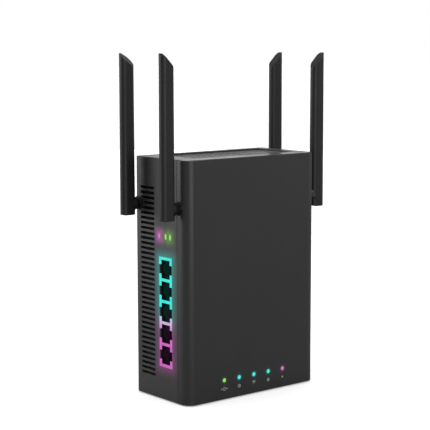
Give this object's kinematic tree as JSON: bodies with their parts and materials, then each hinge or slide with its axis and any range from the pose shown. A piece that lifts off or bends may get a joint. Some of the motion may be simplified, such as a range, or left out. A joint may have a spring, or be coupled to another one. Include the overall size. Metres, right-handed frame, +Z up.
{
  "type": "wifi range extender",
  "caption": "Upright slim box with lit network sockets down one side, air slots, a row of front lights and swivelling flat antennas on side hinges.",
  "frame": {"origin": "centre of the base, on the surface that the feet stand on", "axes": "+Z up, +X to the right, +Y to the rear; the front face looks along -Y and the network sockets are on the -X side"},
  "size_m": [0.1378, 0.056, 0.2231],
  "materials": {
    "cover_plastic": "fine satin moulded grain, dark grey",
    "housing_plastic": "fine matt moulded grain, dark grey",
    "grille_plastic": "matt moulded grain, mid grey",
    "base_plastic": "coarse matt moulded grain, near black",
    "foot_rubber": "matt rubber",
    "guide_clear": "translucent light guide, lit from cyan to magenta",
    "light_green": "translucent lens, lit yellow-green",
    "light_cyan": "translucent lens, lit cyan",
    "light_magenta": "translucent lens, lit magenta",
    "socket_plastic": "black moulding",
    "contact_gold": "gold-plated spring wire",
    "tin_plate": "folded tinned sheet",
    "steel": "zinc-plated steel",
    "board_green": "solder mask on fibreglass",
    "chip_black": "moulded component body",
    "pad_grey": "soft thermal pad",
    "sink_aluminium": "satin extruded aluminium",
    "antenna_plastic": "satin moulded plastic, near black",
    "bushing_plastic": "low-friction moulded plastic",
    "button_plastic": "satin button cap",
    "lead_jacket": "thin coaxial lead jacket"
  },
  "bodies": {
    "case": {"antenna_front_left_bushing": "bushing_plastic", "antenna_front_left_lead": "lead_jacket", "antenna_front_right_bushing": "bushing_plastic", "antenna_front_right_lead": "lead_jacket", "antenna_rear_left_bushing": "bushing_plastic", "antenna_rear_left_lead": "lead_jacket", "antenna_rear_right_bushing": "bushing_plastic", "antenna_rear_right_lead": "lead_jacket", "board_screws": "steel", "bottom_plate": "base_plastic", "case_screws": "steel", "front_cover": "cover_plastic", "front_light_1": "light_green", "front_light_2": "light_cyan", "front_light_3": "light_cyan", "front_light_4": "light_cyan", "front_light_5": "light_magenta", "front_light_board": "board_green", "heat_sink": "sink_aluminium", "lan_jack_block": "socket_plastic", "lan_jack_contacts": "contact_gold", "lan_jack_shield": "tin_plate", "lan_transformers": "chip_black", "lead_sockets": "contact_gold", "main_board": "board_green", "port_light_guide": "guide_clear", "power_capacitors": "sink_aluminium", "power_inlet": "socket_plastic", "power_inlet_pin": "contact_gold", "processor": "chip_black", "push_switches": "chip_black", "radio_shield_cans": "tin_plate", "rear_housing": "housing_plastic", "rubber_foot_front_left": "foot_rubber", "rubber_foot_front_right": "foot_rubber", "rubber_foot_rear_left": "foot_rubber", "rubber_foot_rear_right": "foot_rubber", "side_light_1": "light_magenta", "side_light_2": "light_green", "side_light_3": "light_green", "thermal_pad": "pad_grey", "top_grille": "grille_plastic"},
    "antenna_front_left": {"antenna_front_left_shell": "antenna_plastic", "antenna_front_left_cover": "antenna_plastic", "antenna_front_left_element": "board_green", "antenna_front_left_clip": "steel"},
    "antenna_front_right": {"antenna_front_right_shell": "antenna_plastic", "antenna_front_right_cover": "antenna_plastic", "antenna_front_right_element": "board_green", "antenna_front_right_clip": "steel"},
    "antenna_rear_left": {"antenna_rear_left_shell": "antenna_plastic", "antenna_rear_left_cover": "antenna_plastic", "antenna_rear_left_element": "board_green", "antenna_rear_left_clip": "steel"},
    "antenna_rear_right": {"antenna_rear_right_shell": "antenna_plastic", "antenna_rear_right_cover": "antenna_plastic", "antenna_rear_right_element": "board_green", "antenna_rear_right_clip": "steel"},
    "power_button": {"power_button": "button_plastic"},
    "wps_button": {"wps_button": "button_plastic"}
  },
  "joints": [
    {"name": "antenna_front_left_swivel", "type": "hinge", "parent": "case", "child": "antenna_front_left", "pos_m": [-0.055, -0.0188, 0.1265], "axis": [1, 0, 0], "range_deg": [-8, 180]},
    {"name": "antenna_front_right_swivel", "type": "hinge", "parent": "case", "child": "antenna_front_right", "pos_m": [0.055, -0.0188, 0.1265], "axis": [1, 0, 0], "range_deg": [-8, 180]},
    {"name": "antenna_rear_left_swivel", "type": "hinge", "parent": "case", "child": "antenna_rear_left", "pos_m": [-0.055, 0.0232, 0.1265], "axis": [1, 0, 0], "range_deg": [-180, 8]},
    {"name": "antenna_rear_right_swivel", "type": "hinge", "parent": "case", "child": "antenna_rear_right", "pos_m": [0.055, 0.0232, 0.1265], "axis": [1, 0, 0], "range_deg": [-180, 8]},
    {"name": "power_button_press", "type": "slide", "parent": "case", "child": "power_button", "axis": [-1, 0, 0], "range_m": [0, 0.0005], "stiffness_N_per_m": 1500, "springref_m": -0.0003},
    {"name": "wps_button_press", "type": "slide", "parent": "case", "child": "wps_button", "axis": [-1, 0, 0], "range_m": [0, 0.0005], "stiffness_N_per_m": 1500, "springref_m": -0.0003}
  ]
}
